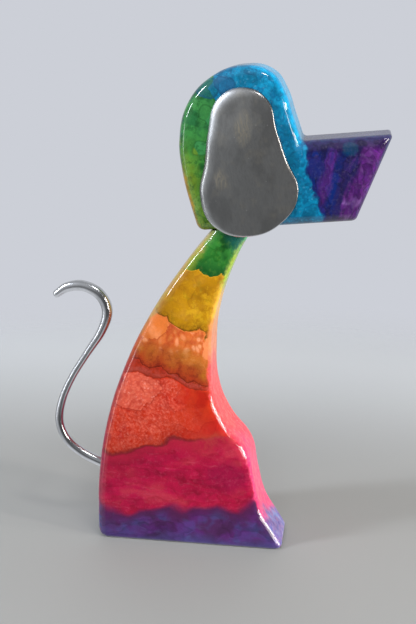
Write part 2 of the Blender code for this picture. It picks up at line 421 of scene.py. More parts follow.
# Inks
# In a recipe, an edge is a distance in millimetres from a wavy line over the board,
# positive to one side of it and negative to the other. A grade, a line, an over and
# a mottle are shares from 0 to 1, and the last factor of a share is how strong its
# layer is. The number after a size or a radius is the seed of its noise.
class Ink(Finish):
    """Layers of ink on a board, laid one over another."""

    def __init__(self, tree):
        super().__init__(tree)
        self.x, self.y, self.z = self.axes(self.place())
        # The flows slant across a board's thickness, so its two faces differ
        self.depth = self.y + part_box("body")[1][1] / MM
        self.u = self.x + self.depth * 0.22
        self.w = self.z + self.depth * 0.16
        self.spot = self.point(self.u, self.depth, self.w)
        self.stirred = self.stir(self.spot, 14, 3, 4)
        self.paint = None

    def waver(self, seed, swell=7, lobe=4, fray=1.6, lobe_size=15, swell_size=42):
        """How far an ink's edge strays from its line: swells, lobes and fraying."""
        wide = self.stray(swell_size, seed, 2 * swell, 1)
        lobes = (0.45 - self.cells(self.stirred, lobe_size, seed + 1)) * lobe
        fine = self.stray(4, seed + 2, 2 * fray, 4, 0.68)
        return wide + lobes + fine

    def stray(self, size, seed, reach, detail=3, rough=0.5):
        """Noise that strays by up to half a reach to either side of nothing."""
        return (self.cloud(self.spot, size, seed, detail, rough) - 0.5) * reach

    def drop(self, x, z, radius, seed, squeeze=1, fray=1):
        """Distance into a round drop of ink from its wavy edge."""
        across = (self.u - x) / squeeze
        along = self.w - z
        reach = (across * across + along * along) ** 0.5
        lobes = self.stray(radius * 1.1, seed, radius * 0.9, 2)
        return radius - reach + lobes + self.stray(2.2, seed + 1, 2 * fray)

    def lay(self, share, ink):
        """Lay an ink over the paint by a share."""
        self.paint = self.mix(share, self.paint, ink)

    def stain(self, share, ink):
        """Darken the paint with an ink by a share, as a glaze does."""
        self.paint = self.mix(share, self.paint, ink, "MULTIPLY")

    def line(self, inside, width, sharp=0.35):
        """Ink settled along an edge: sharp outside, fading inwards over a width."""
        return self.grade(inside, -sharp, sharp) * self.grade(inside, width, 0)

    def over(self, edge, soft=0.35):
        """The share of an ink on the far side of an edge."""
        return self.grade(edge, soft, -soft)

    def tones(self, size, seed, *inks, stretch=(1, 1, 1)):
        """Clouds that run from the first ink to the last."""
        field = self.cloud(self.stirred, size, seed, 2, 0.55, stretch)
        result = inks[0]
        low, high = 0.3, 0.7    # where the clouds' values begin and end
        span = (high - low) / (len(inks) - 1)
        for count, ink in enumerate(inks[1:]):
            start = low + span * count
            result = self.mix(self.grade(field, start, start + span), result, ink)
        return result

    def tides(self, size, seed, share, ink, where=1, stretch=(1, 1, 1)):
        """Tide marks: each pool is a little darker, with a thin dark outline."""
        field = self.cloud(self.stirred, size, seed, 2, 0.5, stretch)
        for level in (0.44, 0.56):
            inside = (field - level) * (size * 1.6)    # in millimetres, roughly
            self.stain(self.over(-inside) * where * (share * 0.5), ink)
            self.stain(self.line(inside, 1.6, 0.25) * where * share, ink)

    def pools(self, size, seed, stretch=(1, 1, 1)):
        """Distance from the middle of round pools, and a chance value for each."""
        outputs = ("Distance", "Color")
        return [self.cells(self.stirred, size, seed, kind, stretch) for kind in outputs]

    def dots(self, size, seed, most=0.5):
        """Small round spots of every brightness where the ink drew back."""
        spot, luck = self.pools(size, seed)
        return self.grade(spot, 0.46, 0.14) * self.grade(luck, most, 0.95)

    def mottle(self, size, seed, low=0.42, high=0.66):
        """Soft blotches with a grainy edge."""
        return self.grade(self.cloud(self.spot, size, seed, 4, 0.72), low, high)

    def within(self, depth, start, end):
        """The share of a board's thickness that is away from both its faces."""
        return self.grade(depth, start, end) * self.grade(depth, BOARD - start, BOARD - end)

    def side(self, seed, start=0.8):
        """The share of the paint that is on the board's sides, off its two faces."""
        return self.within(self.depth + self.stray(5, seed, 4), start, start + 2)

    def ladder(self, height, first, *steps):
        """Colours that follow one another up a height."""
        for start, end, ink in steps:
            first = self.mix(self.grade(height, start, end), first, ink)
        return first

    def close(self):
        """Granulation of the pigment, and the clear resin over it."""
        fine = self.cloud(self.spot, 0.9, 91, 3, 0.7)
        broad = self.cloud(self.stirred, 6, 92, 3, 0.6)
        self.stain(self.grade(fine, 0.35, 0.7) * 0.16, (0.4, 0.38, 0.45))
        self.stain(self.grade(broad, 0.4, 0.7) * 0.16, (0.3, 0.28, 0.38))
        relief = self.cloud(self.spot, 5, 93, 2) + self.cloud(self.spot, 1.7, 95, 2) * 0.7
        rounded = self.within(self.depth, 0, 0.8)
        relief = (relief - 0.85) * (1 + rounded * 0.4)
        relief = relief + self.stray(13, 96, rounded, 2) * 5
        relief = relief + self.stray(1.6, 97, rounded, 1) * 1.3
        sockets = {
            "Base Color": self.paint,
            "Roughness": self.cloud(self.spot, 9, 94, 3) * 0.2 + 0.35,
            "Specular IOR Level": 0.05,
            "Coat Weight": 1 - self.within(self.depth, 4, 7) * 0.4,
            "Coat Roughness": 0.025,
            "Coat IOR": 1.52,
        }
        self.shade(sockets, relief, 0.4, 0.4 * MM)


def dim(ink, amount):
    """An ink made darker."""
    return tuple(part * amount for part in ink)


def blend(first, second, share=0.5):
    """A colour between two others."""
    return tuple(a + (b - a) * share for a, b in zip(first, second))


WHITE = (1.0, 1.0, 1.0)


def body_ink(c):
    """Rainbow of the body, from the green neck down to the violet feet."""
    material, ink = new_finish("body ink", Ink)
    x, z = ink.u, ink.w
    lay, line, over, mottle, tones = ink.lay, ink.line, ink.over, ink.mottle, ink.tones
    tides, drop, waver, stray = ink.tides, ink.drop, ink.waver, ink.stray
    grade, mix = ink.grade, ink.mix

    # Neck: greens, teal towards the chin and lime towards the yellow
    ink.paint = tones(11, 11, c.moss, blend(c.moss, c.leaf, 0.6), dim(c.leaf, 0.85))
    lay(grade(x + z * 0.5, 116, 125) * 0.75, dim(blend(c.teal, c.leaf, 0.25), 0.75))
    tides(18, 12, 0.4, dim(c.leaf, 1.6))
    edge = z - 176.5 + (x - 8) * 0.15 + waver(24, 3, 9, 2.6, 12)
    lay(line(edge, 11) * 0.8, c.moss)
    slope = x - z * 0.66 + stray(8, 14, 8)
    lay(grade(slope, -116, -121) * grade(z, 200, 184) * 0.7, dim(c.lime, 0.85))
    lay(mottle(3, 13, 0.5, 0.7) * 0.25, blend(c.leaf, c.lime, 0.3))

    # Yellow throat with amber clouds, thicker towards its lower edge
    pale = dim(blend(c.yellow, WHITE, 0.01), 1.12)
    yellow = tones(12, 22, blend(c.yellow, c.amber, 0.35), c.yellow, pale)
    lay(over(edge, 0.25), yellow)
    lay(line(-edge, 1, 0.2) * 0.6, dim(pale, 1.15))
    under = grade(edge, -0.2, -1.5)
    tides(22, 25, 0.25, blend(c.amber, c.yellow, 0.6), under)
    lay(mottle(7, 23, 0.46, 0.66) * under * 0.45, blend(c.amber, c.yellow, 0.5))
    lay(mottle(9, 28, 0.48, 0.62) * under * 0.6, (0.64, 0.36, 0.01))
    lay(mottle(5, 29, 0.52, 0.66) * under * 0.3, blend(c.amber, c.lime, 0.4))
    rear = x + 20 - (z - 150) * 0.64 + stray(6, 27, 8)
    lay(grade(rear, 8, 0) * under * 0.6, blend(c.amber, c.yellow, 0.35))
    edge = z - 144.5 + (x + 5) * 0.42 + waver(31, 8, 13, 2.4, 13)
    lay(line(edge, 9) * 0.6, blend(c.amber, c.yellow, 0.4))
    lay(line(edge, 2.4, 0.25) * 0.85, dim(c.amber, 0.5))
    lay(line(edge, 8) * mottle(1.8, 26, 0.46, 0.58) * 0.75, dim(c.amber, 0.7))

    # Orange, then a zone of pale petals, then brownish gold
    orange = tones(9, 32, c.orange, c.orange, blend(c.orange, c.peach, 0.4))
    lay(over(edge, 0.25), orange)
    clean = drop(-24, 146, 11, 34, 1, 2.2)
    zone = over(edge + 1) * over(clean, 0.3)
    lay(zone * 0.9, tones(4, 38, dim(c.orange, 0.85), blend(c.orange, c.red, 0.35)))
    lay(line(-clean, 2, 0.25) * over(edge) * 0.5, c.brick)
    tall = (0.85, 1, 1.3)
    petals, luck = ink.pools(4.2, 33, tall)
    middle = zone * grade(z + (x + 12) * 0.25, 121, 129)
    lay(grade(petals, 0.42, 0.75) * middle * 0.5, blend(c.brick, c.red, 0.5))
    lay(grade(petals, 0.5, 0.2) * grade(luck, 0.2, 0.5) * middle * 0.9, c.peach)
    lay(mottle(2.2, 40) * middle * 0.3, blend(c.orange, c.peach, 0.3))
    gold = z - 128 + (x + 12) * 0.25 + waver(35, 8, 7, 3.4)
    golds = tones(7, 36, c.olive, blend(c.olive, c.orange, 0.4), blend(c.olive, c.yellow, 0.2))
    lay(grade(gold, 6, -4) * 0.92, golds)
    pale = mottle(3, 48, 0.45, 0.65) * grade(gold, 5, 0) * grade(gold, -9, -3)
    lay(pale * 0.4, blend(c.yellow, c.peach))
    patch = drop(13, 130, 8, 39, 0.8, 1.6)
    lay(over(-patch, 0.25) * 0.8, blend(c.orange, c.peach))

    # Dark scalloped edge of the gold, then a brick band with a rosy line
    edge = z - 112.5 + (x + 14) * 0.34 + waver(41, 4, 12, 2.2, 12)
    lay(line(edge, 26) * 0.8, blend(c.brick, c.olive, 0.35))
    lay(line(edge, 13) * 0.8, blend(dim(c.brick, 0.8), c.red, 0.4))
    lay(line(edge, 20) * mottle(3.2, 44, 0.46, 0.64) * 0.7, dim(c.brick, 0.6))
    lay(line(edge, 2.2, 0.25) * 0.85, dim(c.brick, 0.35))
    red = tones(16, 42, c.red, blend(c.red, c.orange, 0.1), dim(c.red, 0.85))
    lay(over(edge, 0.3), red)
    vein = z - 106 + (x + 12) * 0.16 + waver(45, 9, 5, 1.4, 16)
    between = over(edge, 0.3)
    lay(grade(vein, -0.4, 0.4) * between * 0.6, c.brick)
    trace = grade((vein - 2).size(), 2.6, 0.2) * mottle(6, 46, 0.38, 0.6)
    lay(trace * between * 0.5, (0.38, 0.08, 0.06))
    lay(mottle(1.8, 49, 0.5, 0.64) * grade(edge.size(), 7, 1) * 0.45, dim(c.brick, 0.5))
    lay(mottle(4, 47, 0.45, 0.7) * between * grade(vein, 0, 1) * 0.5, dim(c.brick, 0.5))
    lay(line(vein, 1.1, 0.25) * between * 0.6, dim(c.brick, 0.5))

    # Red chest, grainy at the back and smooth at the front
    sway = stray(26, 51, 60)
    rear = grade(x + sway, 14, -24) * grade(vein, 0, -1.5)
    lay(rear * mottle(4.5, 52, 0.35, 0.7) * 0.5, blend(c.coral, c.red, 0.35))
    lay(rear * mottle(1.5, 54, 0.45, 0.62) * 0.4, c.coral)
    lay(rear * ink.dots(2, 55, 0.35) * 0.4, blend(c.coral, WHITE, 0.08))
    veins = grade(ink.cells(ink.stirred, 1.8, 58), 0.35, 0.7)
    lay(rear * veins * 0.3, dim(c.red, 0.7))
    cell = drop(-38, 104, 15, 53, 1.2, 1.6)
    inside = over(-cell, 0.3) * grade(vein, 0, -1)
    lay(inside * 0.5, blend(c.coral, c.orange, 0.15))
    lay(inside * veins * 0.45, blend(c.red, c.coral, 0.15))
    lay(inside * ink.dots(1.8, 56, 0.3) * 0.4, blend(c.coral, WHITE, 0.25))
    lay(line(-cell, 1.3, 0.25) * grade(vein, 0, -1) * 0.5, dim(c.red, 0.5))
    tides(34, 57, 0.3, blend(c.red, WHITE, 0.1), grade(vein, 0, -2))
    low = grade(z + sway * 0.2, 92, 72) * grade(x, -10, 20)
    lay(low * 0.5, blend(c.red, c.crimson, 0.4))

    # Crimson lap under a dark outline, in flat drifts
    hang = grade(x + sway * 0.15, -12, -34) * 9
    edge = z - 69 + hang + waver(61, 13, 3, 1, 30, 26)
    sharp = grade(x + sway * 0.4, 16, -6)
    lay(line(edge, 12) * grade(x, 10, -20) * 0.5, dim(c.red, 0.5))
    drift = (2.2, 1, 0.9)
    crimson = tones(
        11, 62, dim(c.crimson, 0.72), c.crimson, blend(c.crimson, c.coral, 0.1), stretch=drift
    )
    crimson = mix(grade(edge, -14, 0) * 0.55, crimson, blend(c.brick, c.crimson, 0.45))
    crimson = mix(grade(x, 0, -45) * 0.14, crimson, dim(c.wine, 0.8))
    lay(over(edge, 0.8), crimson)
    outline = grade(edge.size(), 1.7, 0.1) * (sharp * 0.6 + 0.1)
    lay(outline, dim(blend(c.brick, c.wine, 0.4), 0.5))
    haze = grade(edge.size(), 7, 0) * (1 - sharp) * mottle(6, 69, 0.35, 0.65)
    lay(haze * 0.6, blend(c.brick, c.coral, 0.25))
    below = grade(edge, -2, -9)
    tides(16, 63, 0.3, blend(c.crimson, WHITE, 0.3), below, drift)
    pool = drop(25, 47, 8, 64, 1.6, 0.6)
    lay(grade(pool, -6, 4) * 0.5, blend(c.wine, c.crimson, 0.3))
    wisps = ink.cloud(ink.stirred, 2.4, 66, 4, 0.7, (7, 2, 1))
    lay(grade(wisps, 0.58, 0.78) * below * 0.16, blend(c.crimson, (1, 0.3, 0.45), 0.6))
    lay(mottle(2, 68, 0.5, 0.7) * below * 0.08, blend(c.crimson, (1, 0.3, 0.45)))

    # Violet feet with blue clouds, darkest along their upper edge
    edge = z - 26 - (x + 10) * 0.04 + waver(71, 20, 10, 1, 26, 30)
    violet = tones(12, 72, blend(c.slate, c.violet), c.violet, dim(c.violet, 0.7))
    bluish = ink.cloud(ink.stirred, 22, 77, 3, 0.6, (1.3, 1, 1))
    bluish = grade(bluish, 0.4, 0.75) * (grade(x, 20, -40) * 0.6 + 0.2)
    violet = mix(bluish, violet, dim(c.slate, 0.7))
    plum = ink.cloud(ink.stirred, 9, 78, 3, 0.6, (2, 1, 1))
    violet = mix(grade(plum, 0.42, 0.66) * 0.5, violet, blend(c.violet, c.magenta, 0.6))
    violet = mix(grade(edge, -12, -1) * 0.85, violet, dim(blend(c.violet, c.wine, 0.3), 0.8))
    lay(over(edge, 2.4), violet)
    lay(grade(edge.size(), 4, 0) * 0.35, blend(c.violet, c.wine))
    below = grade(edge, -3, -10)
    floor = grade(z + stray(16, 75, 16, 2), 11, 0)
    lay(floor * 0.65 * below, blend(c.slate, c.violet, 0.3))
    tides(15, 73, 0.3, blend(c.violet, WHITE, 0.35), below, drift)
    light = grade(ink.cloud(ink.stirred, 6, 74, 4, 0.65, (2.4, 1, 1)), 0.52, 0.8) * below
    lay(light * 0.16, blend(c.slate, (0.35, 0.5, 0.9), 0.2))

    # Ink ran thin over the front edge, in paler and clearer colours, and the
    # back edge carries the same rainbow a little higher
    high = z + stray(14, 82, 24)
    toe = tones(9, 87, (0.10, 0.06, 0.26), (0.13, 0.11, 0.36), (0.16, 0.22, 0.5))
    front = ink.ladder(
        high,
        toe,
        (19, 27, (0.86, 0.04, 0.18)),
        (56, 84, (0.88, 0.06, 0.07)),
        (116, 130, (0.9, 0.26, 0.08)),
        (138, 150, (0.95, 0.52, 0.04)),
        (162, 172, (0.36, 0.58, 0.04)),
        (188, 200, (0.08, 0.46, 0.2)),
    )
    front = mix(mottle(3, 83) * 0.2, front, blend(c.coral, WHITE, 0.3))
    front = mix(mottle(4, 86, 0.5, 0.7) * 0.25, front, c.red)
    side = ink.side(84)
    lay(side * grade(ink.x, -4, 8) * 0.9, front)
    back = ink.ladder(
        high,
        dim(c.slate, 0.8),
        (14, 26, blend(c.wine, c.crimson, 0.4)),
        (66, 84, dim(blend(c.red, c.crimson, 0.6), 0.5)),
        (112, 126, dim(blend(c.orange, c.red, 0.5), 0.6)),
        (136, 150, dim(blend(c.yellow, (0.42, 0.33, 0.2), 0.5), 0.9)),
        (202, 214, dim(c.leaf, 0.7)),
    )
    back = mix(mottle(3, 85) * grade(z, 150, 130) * 0.25, back, blend(c.coral, c.crimson))
    back = mix(mottle(9, 89) * grade(z, 130, 160) * 0.6, back, dim(c.lime, 0.9))
    ochre = mottle(4, 90, 0.45, 0.7) * grade(z, 125, 150)
    back = mix(ochre * 0.5, back, blend(c.amber, c.yellow, 0.5))
    rear = grade(ink.x - ink.z * 0.1, 0, -12)
    lay(ink.side(88, 0.3) * rear * 0.85, back)
    ink.close()
    return material


def head_ink(c):
    """Green nape, turquoise dome, and a snout from blue to purple."""
    material, ink = new_finish("head ink", Ink)
    x, z = ink.u, ink.w
    lay, line, over, mottle, tones = ink.lay, ink.line, ink.over, ink.mottle, ink.tones
    tides, drop, waver, stray = ink.tides, ink.drop, ink.waver, ink.stray
    grade, mix = ink.grade, ink.mix

    # Turquoise dome, thinner and paler down the forehead
    ink.paint = tones(9, 11, c.teal, c.turquoise, blend(c.turquoise, c.cyan, 0.3))
    front = x - 55 + (z - 270) * 0.3 + stray(9, 12, 14)
    lay(grade(front, -4, 7) * grade(z, 236, 256) * 0.6, c.cyan)
    tides(11, 13, 0.4, dim(c.turquoise, 1.1))
    lay(mottle(2.4, 14, 0.5, 0.66) * 0.35, c.cyan)
    lay(mottle(7, 15, 0.46, 0.66) * 0.6, dim(c.teal, 0.75))
    lay(mottle(3.2, 18, 0.48, 0.66) * 0.35, dim(c.teal, 0.9))
    spots, luck = ink.pools(4.5, 17)
    ink.stain(grade((spots - 0.42).size(), 0.07, 0) * grade(luck, 0.5, 0.7) * 0.5, c.turquoise)
    lay(ink.dots(1.7, 16, 0.6) * 0.25, blend(c.cyan, WHITE, 0.2))

    # Green nape in round pools, with yellow-green and teal between
    edge = 11 - x + grade(z, 284, 270) * 8 + waver(21, 8, 10, 1.2, 12)
    greens = tones(9, 22, dim(c.moss, 1.3), dim(c.leaf, 0.85), dim(c.leaf, 0.6))
    spots, luck = ink.pools(9.5, 23)
    inner = grade(spots, 0.52, 0.4)
    bright = dim(blend(c.leaf, c.turquoise, 0.12), 0.95)
    greens = mix(grade(z, 246, 266) * 0.4, greens, dim(blend(c.leaf, c.teal, 0.25), 0.75))
    greens = mix(inner * grade(luck, 0.5, 0.58) * 0.7, greens, bright)
    olive = inner * grade(luck, 0.46, 0.38) * grade(z, 268, 256)
    greens = mix(olive * 0.6, greens, blend(c.lime, c.leaf, 0.45))
    rims = grade((spots - 0.46).size(), 0.07, 0)
    greens = mix(rims * 0.5, greens, c.moss)
    lay(over(-edge, 0.5), greens)
    lay(line(edge, 2.4, 0.3) * 0.6, c.moss)
    rear = x - CHIN_X + (z - CHIN_Z) * 0.29
    low = grade(rear + stray(9, 25, 12), 14, 3)
    low = low * grade(z, 262, 238) * grade(edge, 0, 2)
    lay(low * 0.5, dim(c.lime, 0.8))
    lay(mottle(4.5, 24, 0.48, 0.64) * grade(edge, 0, 2) * 0.6, c.moss)

    # Blue drops on the crown, and gold along the nape's lower edge
    greenish = dim(blend(c.moss, c.teal, 0.6), 0.9)
    bluish = dim(blend(c.slate, c.turquoise, 0.5), 0.7)
    for spot, fill in (((8, 285, 6.5, 31), greenish), ((17.5, 287, 5.5, 34), bluish)):
        crown = drop(*spot, 1.1, 0.5)
        lay(over(-crown, 0.4) * 0.6, fill)
        lay(line(crown, 1.6, 0.25) * 0.7, blend(c.navy, c.teal))
    rear = rear + stray(10, 33, 6)
    gold = grade(rear, 3.2, 0.8) * grade(z, 246, 232)
    lay(gold * 0.8, blend(c.yellow, c.orange, 0.15))

    # Snout: blue, purple and navy runs that slant as its end does
    edge = x - 64.5 + (z - 250) * 0.25 + waver(41, 4, 6, 2.4, 8)
    blues = tones(9, 42, c.navy, dim(c.blue, 0.9), blend(c.blue, c.violet, 0.4))
    lay(over(-edge, 1.2), blues)
    lay(line(edge, 3, 0.8) * 0.4, c.navy)
    snout = grade(edge, 0, 3)
    lean = x - (z - 232) * 0.3
    runs = ink.stir(ink.point(lean, ink.y, z), 10, 43, 2)
    long = (1, 3, 4)
    streaks = ink.cloud(runs, 5, 44, 2, 0.5, long) - 0.5
    flow = lean + streaks * 14 + stray(3, 45, 4, 3, 0.6)
    rose = blend(c.magenta, c.violet, 0.4)
    lay(grade(flow, 70, 77) * grade(flow, 82, 76) * snout * 0.6, rose)
    lay(grade(flow, 76, 81) * grade(flow, 88, 81) * snout * 0.6, dim(c.blue, 0.85))
    lay(grade(flow, 82, 86) * snout * 0.75, blend(c.navy, c.violet, 0.25))
    purple = tones(8, 47, c.magenta, blend(c.magenta, c.violet), blend(c.magenta, WHITE, 0.08))
    lay(grade(flow, 89, 93) * 0.85, purple)
    streaks = ink.cloud(runs, 4, 49, 3, 0.6, long)
    lay(grade(streaks, 0.5, 0.66) * snout * 0.4, blend(c.navy, c.violet, 0.3))
    streaks = ink.cloud(runs, 3, 46, 3, 0.6, long)
    lay(grade(streaks, 0.54, 0.7) * snout * 0.25, blend(c.magenta, c.blue))
    ridge = z - 0.1 * (x - 62) + stray(8, 48, 12)
    lay(grade(ridge, 248, 252) * snout * 0.8, blend(c.navy, c.violet, 0.25))
    tides(11, 50, 0.45, blend(c.blue, WHITE, 0.2), snout, (1, 1, 1.6))
    cell = drop(71, 242, 5.5, 51, 1, 0.4)
    lay(over(-cell, 0.4) * 0.45, blend(c.blue, c.violet, 0.2))
    lay(line(cell, 0.9, 0.25) * 0.5, c.navy)
    cell = drop(90, 253, 4, 53, 1.2, 0.6)
    lay(over(-cell, 0.8) * 0.45, dim(c.teal, 0.5))
    lay(mottle(1.6, 55, 0.5, 0.68) * snout * 0.07, blend(c.violet, WHITE, 0.2))
    lay(ink.dots(1.4, 56, 0.6) * snout * 0.07, blend(c.blue, WHITE, 0.3))

    # Thin, clear ink over the brow and along the top of the snout
    side = ink.side(57)
    brow = grade(ink.x, 24, 40) * grade(ink.x - ink.z * 0.2, 13, 8)
    lay(side * brow * grade(z, 244, 256) * 0.85, (0, 0.45, 0.8))
    top = grade(ink.x - ink.z * 0.2, 9, 16) * grade(z, 242, 250)
    lay(side * top * 0.8, dim(blend(c.slate, c.violet), 0.8))
    lay(side * mottle(4, 58, 0.45, 0.65) * 0.3, dim(c.teal, 0.8))
    tides(14, 59, 0.35, blend(c.turquoise, WHITE, 0.1), side)
    ink.close()
    return material


# Metals
def ear_metal(c):
    """Satin cast aluminium, brushed up and down, with a polished rim that carries painted
    highlights and painted shade.
    """
    material, f = new_finish("ear aluminium")
    place = f.place()
    x, y, z = f.axes(place)
    grained = f.stir(f.point(x + z * 0.2, y, z), 16, 13, 5)
    rim = f.add("ShaderNodeAttribute", {"attribute_name": "rim"}, None, "Fac")
    streaks = f.cloud(grained, 1.3, 5, 3, 0.6, (1, 1, 14))
    clouds = f.cloud(place, 16, 6, 4, 0.6, (1, 1, 1.6))
    smudges = f.cloud(place, 11, 7, 4, 0.65)
    specks = f.cells(place, 5, 8)
    base = f.mix(f.grade(clouds, 0.4, 0.62) * 0.7, c.satin, dim(c.satin, 0.55))
    base = f.mix(f.grade(smudges, 0.5, 0.68) * 0.25, base, c.smudge)
    scratches = f.cloud(grained, 0.9, 12, 2, 0.6, (1, 1, 12))
    x, _, z = f.axes(f.stir(place, 12, 11, 3))
    for across, up, width, height in ((29, 263, 4, 10), (16, 234, 4, 5.5)):
        out = ((x - across) / width).size() ** 2 + ((z - up) / height).size() ** 2
        brushed = f.grade(scratches, 0.4, 0.62) * 0.75 + 0.25
        base = f.mix(f.grade(out, 1.8, 0) * brushed * 0.9, base, c.smudge)
    base = f.mix(f.grade(streaks, 0.4, 0.62) * 0.2, base, dim(c.satin, 0.5))
    base = f.mix(f.grade(specks, 0.09, 0.04) * 0.4, base, (0.9, 0.9, 0.88))
    worn_and_glint = ((x - 16).size() ** 2 + (z - 275).size() ** 2) ** 0.5
    worn_and_glint = f.grade(worn_and_glint, 28, 8)
    rough = 0.32 + clouds * 0.16 + (streaks - 0.5) * 0.08 + worn_and_glint * 0.1 + worn_and_glint * rim * 0.16
    # Painted highlight: the rim at the upper left, which is also rougher there, is lightened
    # to the polished colour
    base = f.mix(rim * worn_and_glint, base, c.bright)
    # Painted shade: the rim on the right side is darkened, dimming the windows' highlight
    # there
    base = f.mix(rim * f.grade(x, 24, 32) * 0.6, base, dim(c.satin, 0.5))
    # Painted highlight: the lower rim is lightened to the polished colour
    base = f.mix(rim * f.grade(z, 222, 208), base, c.bright)
    grain = f.cloud(grained, 0.7, 9, 3, 0.7, (1, 1, 5))
    base = f.mix(f.grade(grain, 0.45, 0.7) * 0.3, base, dim(c.satin, 0.5))
    pits = f.cloud(place, 6, 10, 3, 0.5)
    relief = (grain * 0.3 + pits) * (1 - rim)
    sockets = {"Base Color": base, "Metallic": 1, "Roughness": rough - rim * 0.2}
    f.shade(sockets, relief, 0.15, 0.2 * MM)
    return material


def tail_metal(c):
    """Polished cast aluminium rod."""
    material, f = new_finish("tail aluminium")
    place = f.place()
    clouds = f.cloud(place, 9, 3, 3, 0.6)
    fine = f.cloud(place, 0.8, 4, 3, 0.7)
    base = f.mix(f.grade(clouds, 0.45, 0.7) * 0.3, c.bright, dim(c.bright, 0.6))
    rough = 0.13 + clouds * 0.12 + fine * 0.05
    sockets = {"Base Color": base, "Metallic": 1, "Roughness": rough}
    f.shade(sockets, fine * 0.15 + clouds, 0.2, 0.2 * MM)
    return material


# Mesh building
def edit(mesh, action):
    """Open a mesh for an action of mesh tools, and write it back."""
    bm = bmesh.new()
    bm.from_mesh(mesh)
    action(bm)
    bm.to_mesh(mesh)
    bm.free()


def seal(bm):
    """Join a mesh's doubles, and turn its faces outwards."""
    bmesh.ops.remove_doubles(bm, verts=bm.verts, dist=MERGE)
    bmesh.ops.recalc_face_normals(bm, faces=bm.faces)


def plain_mesh(source, name, used=False):
    """The evaluated shape of an object as a plain mesh. A used object goes."""
    bpy.context.view_layer.update()
    depsgraph = bpy.context.evaluated_depsgraph_get()
    mesh = bpy.data.meshes.new_from_object(source.evaluated_get(depsgraph))
    mesh.name = name
    mesh.transform(source.matrix_world)
    if used:
        bpy.data.objects.remove(source)
    return mesh


def new_object(name, data):
    """A new object in the scene, at the origin."""
    made = bpy.data.objects.new(name, data)
    bpy.context.scene.collection.objects.link(made)
    return made


def outline_mesh(name, knots, steps, thickness=None):
    """A closed outline through knots, filled to a thickness if one is given."""
    curve = bpy.data.curves.new(name, "CURVE")
    curve.dimensions = "2D"
    curve.resolution_u = steps
    spline = curve.splines.new("BEZIER")
    spline.bezier_points.add(len(knots) - 1)
    spline.use_cyclic_u = True
    for index, point in enumerate(spline.bezier_points):
        x, z, corner = knots[index]
        before, after = knots[index - 1][2], knots[(index + 1) % len(knots)][2]
        point.co = (x * MM, z * MM, 0)
        # The outline runs straight into a rounded corner, and is smooth elsewhere
        sharp = corner is not SMOOTH
        point.handle_left_type = "VECTOR" if sharp or before else "AUTO"
        point.handle_right_type = "VECTOR" if sharp or after else "AUTO"
    if thickness:
        curve.fill_mode = "BOTH"
        curve.extrude = thickness / 2
    return plain_mesh(new_object(name + " outline", curve), name, used=True)


def slab(name, knots, thickness, steps):
    """A board cut to an outline, lying flat, as an object with a closed mesh."""
    def join(bm):
        seal(bm)
        flat = radians(0.05)
        bmesh.ops.dissolve_limit(bm, angle_limit=flat, verts=bm.verts, edges=bm.edges)

    mesh = outline_mesh(name, knots, steps, thickness)
    edit(mesh, join)
    return new_object(name, mesh)


def weigh_edges(mesh, knots, width_of_edge, widest):
    """Give each edge of a slab its share of the widest rounding."""
    corners = [(Vector((x * MM, z * MM)), cut) for x, z, cut in knots if cut]

    def weigh(bm):
        weight = bm.edges.layers.float.new("bevel_weight_edge")
        for edge in bm.edges:
            low, high = (vert.co for vert in edge.verts)
            if abs(low.z - high.z) < NEAR:
                edge[weight] = width_of_edge(low, high) / widest
                continue
            for place, cut in corners:
                if (low.xy - place).length < NEAR:
                    edge[weight] = cut * MM / widest

    edit(mesh, weigh)


def fit(mesh, node, axes=(0, 1, 2)):
    """Bring a mesh to the box of the node that it stands for, along some axes."""
    low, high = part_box(node)
    for axis in axes:
        values = [vert.co[axis] for vert in mesh.vertices]
        start, end = min(values), max(values)
        scale = (high[axis] - low[axis]) / (end - start)
        for vert in mesh.vertices:
            vert.co[axis] = low[axis] + (vert.co[axis] - start) * scale


def ripple(mesh, height, thickness):
    """Waves of the resin over a board's rounded edges, not on its flat faces."""
    long, short, share = 5 * MM, 2.2 * MM, 0.6    # two sizes of waves
    ways = [vert.normal.copy() for vert in mesh.vertices]
    for vert, way in zip(mesh.vertices, ways):
        if abs(vert.co.z) < thickness / 2 - MM / 100:
            wave = noise.noise(vert.co / long) + share * noise.noise(vert.co / short)
            vert.co += way * wave * height


def saw(mesh, place, way):
    """Cut a mesh along a plane, drop what is beyond it and close the cut."""
    def part(bm):
        geometry = bm.verts[:] + bm.edges[:] + bm.faces[:]
        cut = bmesh.ops.bisect_plane(
            bm, geom=geometry, dist=1e-7, plane_co=place, plane_no=way, clear_outer=True
        )
        rim = [item for item in cut["geom_cut"] if isinstance(item, bmesh.types.BMEdge)]
        bmesh.ops.contextual_create(bm, geom=rim)
        bmesh.ops.recalc_face_normals(bm, faces=bm.faces)

    edit(mesh, part)


def board(name, knots, width_of_edge, widest, settings, cut=None):
    """A wooden board with rounded edges, stood up in its place."""
    low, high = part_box(name)
    thickness = high[1] - low[1]
    piece = slab(name, knots, thickness, settings.outline_steps)
    weigh_edges(piece.data, knots, width_of_edge, widest)
    bevel = piece.modifiers.new("rounded edges", "BEVEL")
    bevel.limit_method = "WEIGHT"
    bevel.width = widest
    bevel.segments = settings.edge_steps
    bevel.use_clamp_overlap = False
    mesh = plain_mesh(piece, name, used=True)
    ripple(mesh, settings.ripple, thickness)
    mesh.transform(Matrix.Rotation(pi / 2, 4, "X"))
    if cut:
        saw(mesh, *cut)
    fit(mesh, name)
    return new_object(name + "_board", mesh)


def smooth(piece):
    """Smooth shading that keeps flat faces flat."""
    piece.data.shade_smooth()
    piece.data.set_sharp_from_angle(angle=CREASE)
    even = piece.modifiers.new("even shading", "WEIGHTED_NORMAL")
    even.keep_sharp = True


def dress(piece, node, material):
    """Give a piece its finish and let it stand for its node."""
    piece.data.materials.clear()
    piece.data.materials.append(material)
    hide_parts(node)
    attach(piece, BODY)


